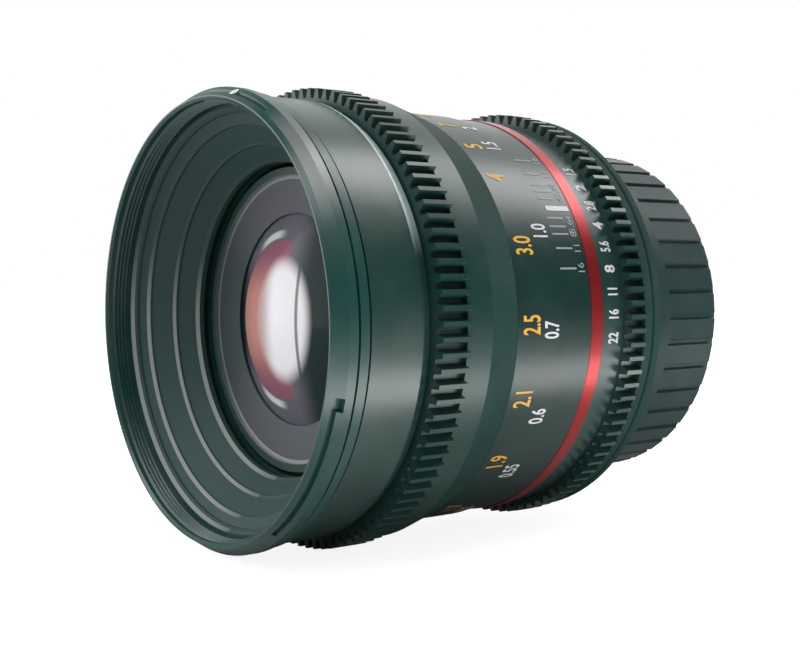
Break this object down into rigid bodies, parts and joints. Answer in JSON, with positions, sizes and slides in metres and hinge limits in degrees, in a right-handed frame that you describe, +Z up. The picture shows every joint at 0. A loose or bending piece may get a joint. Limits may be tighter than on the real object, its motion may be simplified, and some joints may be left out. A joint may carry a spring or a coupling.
{
  "type": "manual camera lens",
  "caption": "Fast manual cine lens with geared focus and aperture rings, engraved scales, a filter thread, a bayonet mount and its rear cap.",
  "frame": {"origin": "centre of the mount's seating face, on the optical axis", "axes": "+X along the optical axis from the front rim to the rear, +Z up with the lens lying on its side, index line rolled from +Z towards -Y"},
  "size_m": [0.0981, 0.084, 0.084],
  "materials": {
    "black_metal": "satin black anodised",
    "matte_black": "flat black",
    "bright_steel": "machined",
    "yellow_brass": "turned",
    "red_enamel": "glossy red",
    "chromed_brass": "satin chrome",
    "blade_steel": "blackened",
    "black_plastic": "moulded",
    "lens_glass": "coated"
  },
  "bodies": {
    "barrel": {"front_ring": "black_metal", "front_barrel": "black_metal", "front_baffle": "matte_black", "front_screws": "bright_steel", "inner_barrel": "black_metal", "focus_washer": "yellow_brass", "sleeve_ring": "black_metal", "focus_retainer": "black_metal", "guide_keys": "bright_steel", "depth_scale": "black_metal", "red_ring": "red_enamel", "stop_washer": "yellow_brass", "rear_housing": "black_metal", "mount_ring": "chromed_brass", "mount_screws": "bright_steel", "rear_light_trap": "matte_black"},
    "focus_ring": {"focus_ring": "black_metal", "distance_scale": "black_metal", "helicoid_sleeve": "yellow_brass", "drive_key": "bright_steel"},
    "optics": {"lens_barrel": "black_metal", "rear_cell": "matte_black", "front_retainer": "black_metal", "rear_retainer": "matte_black", "front_spacer": "matte_black", "rear_spacers": "matte_black", "iris_housing": "matte_black", "iris_cover": "matte_black", "glass_1": "lens_glass", "glass_2": "lens_glass", "glass_3": "lens_glass", "glass_4": "lens_glass", "glass_5": "lens_glass", "glass_6": "lens_glass", "glass_7": "lens_glass", "glass_8": "lens_glass", "glass_9": "lens_glass"},
    "iris_ring": {"iris_drive_ring": "bright_steel"},
    "aperture_ring": {"aperture_ring": "black_metal", "aperture_fork": "bright_steel", "fork_screw": "bright_steel"},
    "rear_cap": {"rear_cap": "black_plastic"},
    "blade_1": {"iris_blade_1": "blade_steel"},
    "blade_2": {"iris_blade_2": "blade_steel"},
    "blade_3": {"iris_blade_3": "blade_steel"},
    "blade_4": {"iris_blade_4": "blade_steel"},
    "blade_5": {"iris_blade_5": "blade_steel"},
    "blade_6": {"iris_blade_6": "blade_steel"},
    "blade_7": {"iris_blade_7": "blade_steel"},
    "blade_8": {"iris_blade_8": "blade_steel"}
  },
  "joints": [
    {"name": "focus_turn", "type": "hinge", "parent": "barrel", "child": "focus_ring", "pos_m": [-0.04, 0, 0], "axis": [1, 0, 0], "range_deg": [-113, 65]},
    {"name": "optics_travel", "type": "slide", "parent": "barrel", "child": "optics", "axis": [1, 0, 0], "range_m": [-0.00453, 0.00261]},
    {"name": "aperture_turn", "type": "hinge", "parent": "barrel", "child": "aperture_ring", "pos_m": [-0.009, 0, 0], "axis": [1, 0, 0], "range_deg": [-36, 14.4]},
    {"name": "iris_ring_turn", "type": "hinge", "parent": "optics", "child": "iris_ring", "pos_m": [-0.028, 0, 0], "axis": [1, 0, 0], "range_deg": [-36.1, 14.5]},
    {"name": "cap_pull", "type": "slide", "parent": "barrel", "child": "rear_cap", "axis": [1, 0, 0], "range_m": [0, 0.04]},
    {"name": "blade_1_turn", "type": "hinge", "parent": "optics", "child": "blade_1", "pos_m": [-0.03, 0, -0.0226], "axis": [1, 0, 0], "range_deg": [-9.9, 24.6]},
    {"name": "blade_2_turn", "type": "hinge", "parent": "optics", "child": "blade_2", "pos_m": [-0.03, 0.01598, -0.01598], "axis": [1, 0, 0], "range_deg": [-9.9, 24.6]},
    {"name": "blade_3_turn", "type": "hinge", "parent": "optics", "child": "blade_3", "pos_m": [-0.03, 0.0226, 0], "axis": [1, 0, 0], "range_deg": [-9.9, 24.6]},
    {"name": "blade_4_turn", "type": "hinge", "parent": "optics", "child": "blade_4", "pos_m": [-0.03, 0.01598, 0.01598], "axis": [1, 0, 0], "range_deg": [-9.9, 24.6]},
    {"name": "blade_5_turn", "type": "hinge", "parent": "optics", "child": "blade_5", "pos_m": [-0.03, 0, 0.0226], "axis": [1, 0, 0], "range_deg": [-9.9, 24.6]},
    {"name": "blade_6_turn", "type": "hinge", "parent": "optics", "child": "blade_6", "pos_m": [-0.03, -0.01598, 0.01598], "axis": [1, 0, 0], "range_deg": [-9.9, 24.6]},
    {"name": "blade_7_turn", "type": "hinge", "parent": "optics", "child": "blade_7", "pos_m": [-0.03, -0.0226, 0], "axis": [1, 0, 0], "range_deg": [-9.9, 24.6]},
    {"name": "blade_8_turn", "type": "hinge", "parent": "optics", "child": "blade_8", "pos_m": [-0.03, -0.01598, -0.01598], "axis": [1, 0, 0], "range_deg": [-9.9, 24.6]}
  ],
  "couplings": [
    {"joint": "optics_travel", "follows": "focus_turn", "m_per_rad": 0.0022918},
    {"joint": "iris_ring_turn", "follows": "aperture_turn", "ratio": 1},
    {"joint": "blade_1_turn", "follows": "aperture_turn", "ratio": -0.68},
    {"joint": "blade_2_turn", "follows": "aperture_turn", "ratio": -0.68},
    {"joint": "blade_3_turn", "follows": "aperture_turn", "ratio": -0.68},
    {"joint": "blade_4_turn", "follows": "aperture_turn", "ratio": -0.68},
    {"joint": "blade_5_turn", "follows": "aperture_turn", "ratio": -0.68},
    {"joint": "blade_6_turn", "follows": "aperture_turn", "ratio": -0.68},
    {"joint": "blade_7_turn", "follows": "aperture_turn", "ratio": -0.68},
    {"joint": "blade_8_turn", "follows": "aperture_turn", "ratio": -0.68}
  ]
}
